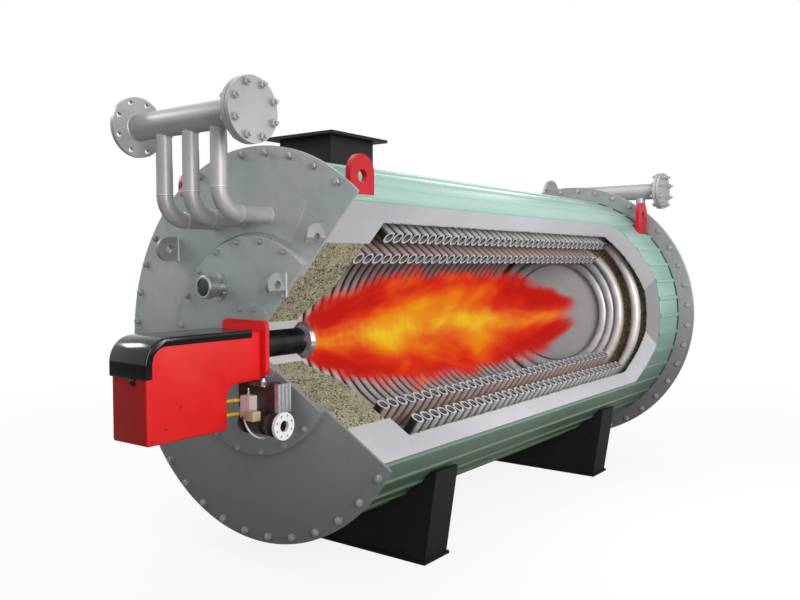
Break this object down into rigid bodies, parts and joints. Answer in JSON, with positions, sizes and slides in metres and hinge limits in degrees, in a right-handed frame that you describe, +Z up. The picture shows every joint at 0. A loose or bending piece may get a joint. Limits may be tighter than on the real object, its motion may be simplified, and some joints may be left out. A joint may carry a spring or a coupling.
{
  "type": "thermal oil heater",
  "caption": "Horizontal gas-fired thermal oil heater on saddles, its side cut open to show the concentric tube coils, refractory throat and insulation, with headers, flue stub and burner.",
  "frame": {"origin": "floor level, under the middle of the whole part's plan box, on the vessel's centre plane", "axes": "+Y along the vessel from the burner end to the rear cover, +Z up, +X to the side that is cut open"},
  "size_m": [2.1258, 4.9749, 2.397],
  "materials": {
    "plate_grey": "satin grey paint",
    "clad_green": "coated ribbed sheet, satin",
    "insulation_wool": "pale fibre insulation, cut face",
    "casing_olive": "dull olive steel",
    "refractory": "speckled cast refractory",
    "sleeve_fibre": "pale ceramic fibre",
    "coil_steel": "bare drawn tube",
    "disc_grey": "dull grey plate",
    "support_black": "black paint",
    "lug_red": "red paint",
    "pipe_steel": "grey primed pipe",
    "burner_red": "gloss red paint",
    "cover_black": "satin black cover",
    "blast_steel": "heat-dark steel",
    "head_steel": "bright ring",
    "valve_black": "dark cast body",
    "actuator_grey": "satin cast cover",
    "switch_plastic": "pale plastic",
    "gas_white": "white paint",
    "lead_yellow": "yellow sheath",
    "sight_steel": "satin steel",
    "sight_glass": "tinted heat glass"
  },
  "bodies": {
    "root": {"front_plate": "plate_grey", "door_ring": "plate_grey", "burner_door": "plate_grey", "burner_ring": "plate_grey", "pipe_panel": "plate_grey", "cladding": "clad_green", "insulation": "insulation_wool", "inner_casing": "casing_olive", "refractory_block": "refractory", "throat_sleeve": "sleeve_fibre", "inner_coil": "coil_steel", "outer_coil": "coil_steel", "end_coil": "coil_steel", "coil_spacers": "casing_olive", "rear_disc": "disc_grey", "rear_lining": "refractory", "rear_flange_ring": "plate_grey", "rear_cover": "plate_grey", "front_saddle": "support_black", "rear_saddle": "support_black", "base_plates": "support_black", "flue_duct": "support_black", "flue_flange": "support_black", "front_lifting_lugs": "lug_red", "rear_lifting_lugs": "lug_red", "plate_lugs": "plate_grey", "door_lug": "plate_grey", "sight_tube": "sight_steel", "sight_glass": "sight_glass", "burner_housing": "burner_red", "burner_cover": "cover_black", "burner_flange": "burner_red", "burner_tube": "blast_steel", "burner_head": "head_steel", "gas_valve_body": "valve_black", "gas_actuator": "actuator_grey", "gas_switch_box": "switch_plastic", "gas_governor": "valve_black", "gas_inlet_flange": "gas_white", "gas_lead": "lead_yellow", "front_header_pipe": "pipe_steel", "front_header_flanges": "pipe_steel", "front_risers": "pipe_steel", "rear_header_pipe": "pipe_steel", "rear_header_flanges": "pipe_steel", "rear_risers": "pipe_steel", "blind_flanges": "pipe_steel"}
  },
  "joints": []
}
